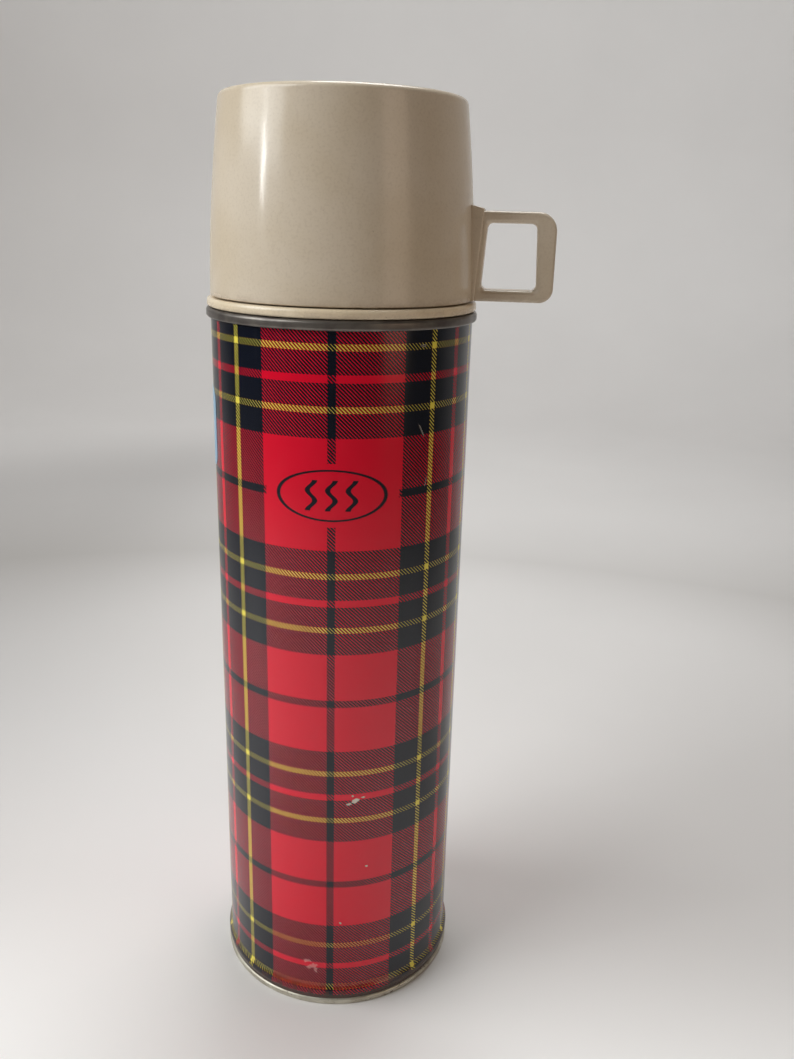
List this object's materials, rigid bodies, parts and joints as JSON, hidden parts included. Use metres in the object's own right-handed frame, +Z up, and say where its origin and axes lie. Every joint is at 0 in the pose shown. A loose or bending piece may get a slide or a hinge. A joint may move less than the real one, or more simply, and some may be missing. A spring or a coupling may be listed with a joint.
{
  "type": "vacuum flask",
  "caption": "Tall cylindrical vacuum flask with a printed steel jacket, glass filler, screw stopper and a handled drinking cup that closes the top.",
  "frame": {"origin": "on the flask's axis, in the plane that it stands on", "axes": "+Z up along the flask's axis; +X towards the cup's handle; -Y is the front with the badge"},
  "size_m": [0.1285, 0.1014, 0.3556],
  "materials": {
    "litho_steel": "glossy printed enamel on tinplate, red tartan",
    "neck_steel": "dull dark plated steel",
    "tinplate": "bare tinplate, dulled",
    "cushion_rubber": "matt moulded rubber",
    "silvered_glass": "silvered on the vacuum side",
    "spacer_pad": "pressed mineral pad",
    "label_paper": "plain coated paper",
    "seal_rubber": "black moulded rubber",
    "collar_plastic": "glossy, slightly yellowed",
    "stopper_plastic": "satin moulded plastic",
    "cork": "matte cork",
    "cup_plastic": "glossy moulded plastic"
  },
  "bodies": {
    "casing": {"jacket": "litho_steel", "neck_ring": "neck_steel", "base_plate": "tinplate", "base_cushion": "cushion_rubber", "glass_outer": "silvered_glass", "glass_inner": "silvered_glass", "glass_spacers": "spacer_pad", "side_label": "label_paper"},
    "neck_seal": {"neck_gasket": "seal_rubber"},
    "collar": {"collar": "collar_plastic"},
    "stopper_seal": {"stopper_gasket": "seal_rubber"},
    "stopper": {"stopper_body": "stopper_plastic", "stopper_core": "cork", "stopper_cap": "stopper_plastic"},
    "cup": {"cup": "cup_plastic", "cup_handle": "cup_plastic"}
  },
  "joints": [
    {"name": "collar_rise", "type": "slide", "parent": "casing", "child": "neck_seal", "axis": [0, 0, 1], "range_m": [0, 0.009]},
    {"name": "collar_turn", "type": "hinge", "parent": "neck_seal", "child": "collar", "pos_m": [0, 0, 0.275], "axis": [0, 0, 1], "range_deg": [0, 720]},
    {"name": "stopper_rise", "type": "slide", "parent": "collar", "child": "stopper_seal", "axis": [0, 0, 1], "range_m": [0, 0.008]},
    {"name": "stopper_turn", "type": "hinge", "parent": "stopper_seal", "child": "stopper", "pos_m": [0, 0, 0.298], "axis": [0, 0, 1], "range_deg": [0, 540]},
    {"name": "cup_lift", "type": "slide", "parent": "collar", "child": "cup", "axis": [0, 0, 1], "range_m": [0, 0.1]}
  ],
  "couplings": [
    {"joint": "collar_rise", "follows": "collar_turn", "m_per_rad": 0.00063662},
    {"joint": "stopper_rise", "follows": "stopper_turn", "m_per_rad": 0.00079577}
  ]
}
